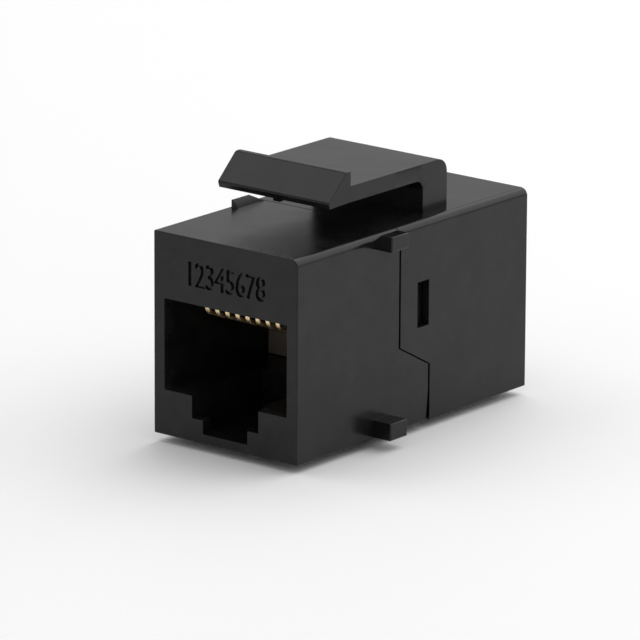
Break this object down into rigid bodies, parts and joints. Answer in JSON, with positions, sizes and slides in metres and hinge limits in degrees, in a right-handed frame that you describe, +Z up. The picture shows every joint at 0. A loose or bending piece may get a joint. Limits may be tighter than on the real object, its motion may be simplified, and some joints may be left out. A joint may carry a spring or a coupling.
{
  "type": "keystone coupler",
  "caption": "Keystone panel coupler: black two-part housing with a socket for a network plug at each end and a snap latch on top.",
  "frame": {"origin": "middle of the flat underside of the housings", "axes": "+X to the right seen from the front port, +Y from the front port to the rear port, +Z up to the latch"},
  "size_m": [0.0184, 0.0292, 0.0223],
  "materials": {
    "shell_black": "satin moulded black ABS",
    "carrier_plastic": "matt moulded brown-grey",
    "board_green": "solder mask on glass laminate",
    "contact_gold": "gold-plated phosphor bronze"
  },
  "bodies": {
    "coupler": {"front_housing": "shell_black", "rear_housing": "shell_black", "circuit_board": "board_green", "front_contact_carrier": "carrier_plastic", "rear_contact_carrier": "carrier_plastic", "front_contact_1": "contact_gold", "front_contact_2": "contact_gold", "front_contact_3": "contact_gold", "front_contact_4": "contact_gold", "front_contact_5": "contact_gold", "front_contact_6": "contact_gold", "front_contact_7": "contact_gold", "front_contact_8": "contact_gold", "rear_contact_1": "contact_gold", "rear_contact_2": "contact_gold", "rear_contact_3": "contact_gold", "rear_contact_4": "contact_gold", "rear_contact_5": "contact_gold", "rear_contact_6": "contact_gold", "rear_contact_7": "contact_gold", "rear_contact_8": "contact_gold"},
    "latch": {"keystone_latch": "shell_black"}
  },
  "joints": [
    {"name": "latch_flex", "type": "hinge", "parent": "coupler", "child": "latch", "pos_m": [0, 0.0013, 0.0198], "axis": [1, 0, 0], "range_deg": [0, 10], "stiffness_Nm_per_rad": 0.85}
  ]
}
